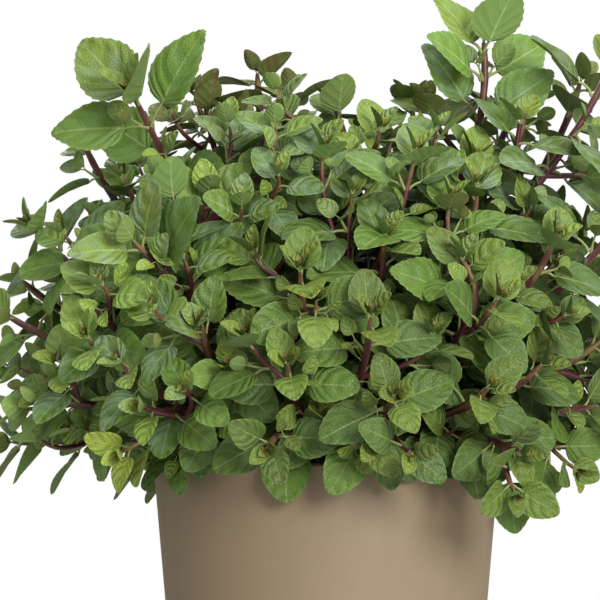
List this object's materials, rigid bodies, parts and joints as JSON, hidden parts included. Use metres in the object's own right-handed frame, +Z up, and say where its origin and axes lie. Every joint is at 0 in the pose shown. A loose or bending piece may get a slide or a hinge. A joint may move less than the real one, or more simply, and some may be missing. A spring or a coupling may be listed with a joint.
{
  "type": "potted grapefruit mint",
  "caption": "Bushy potted mint: square purple stems with opposite pairs of toothed oval leaves, rooted in soil in a plain tapered round pot.",
  "frame": {"origin": "centre of the pot's flat foot, where it rests", "axes": "+Z up along the pot's axis, -Y towards the side that the picture shows, +X to its right"},
  "size_m": [0.3708, 0.309, 0.4296],
  "materials": {
    "pot": "matte taupe",
    "soil": "matte, crumbly",
    "mint": "soft leaf green",
    "stem": "purple stem"
  },
  "bodies": {
    "root": {"pot": "pot", "soil": "soil", "leafy_stem_01": "mint", "leafy_stem_02": "mint", "leafy_stem_03": "mint", "leafy_stem_04": "mint", "leafy_stem_05": "mint", "leafy_stem_06": "mint", "leafy_stem_07": "mint", "leafy_stem_08": "mint", "leafy_stem_09": "mint", "leafy_stem_10": "mint", "leafy_stem_11": "mint", "leafy_stem_12": "mint", "leafy_stem_13": "mint", "leafy_stem_14": "mint", "leafy_stem_15": "mint", "leafy_stem_16": "mint", "leafy_stem_17": "mint", "leafy_stem_18": "mint", "leafy_stem_19": "mint", "leafy_stem_20": "mint", "leafy_stem_21": "mint", "leafy_stem_22": "mint", "leafy_stem_23": "mint", "leafy_stem_24": "mint", "leafy_stem_25": "mint", "leafy_stem_26": "mint", "leafy_stem_27": "mint", "leafy_stem_28": "mint", "leafy_stem_29": "mint", "leafy_stem_30": "mint", "leafy_stem_31": "mint", "leafy_stem_32": "mint", "leafy_stem_33": "mint", "leafy_stem_34": "mint", "leafy_stem_35": "mint", "leafy_stem_36": "mint", "leafy_stem_37": "mint", "leafy_stem_38": "mint", "leafy_stem_39": "mint", "leafy_stem_40": "mint", "leafy_stem_41": "mint", "leafy_stem_42": "mint", "leafy_stem_43": "mint", "leafy_stem_44": "mint", "leafy_stem_45": "mint", "leafy_stem_46": "mint", "leafy_stem_47": "mint", "leafy_stem_48": "mint", "leafy_stem_49": "mint", "leafy_stem_50": "mint", "leafy_stem_51": "mint", "leafy_stem_52": "mint"}
  },
  "joints": []
}
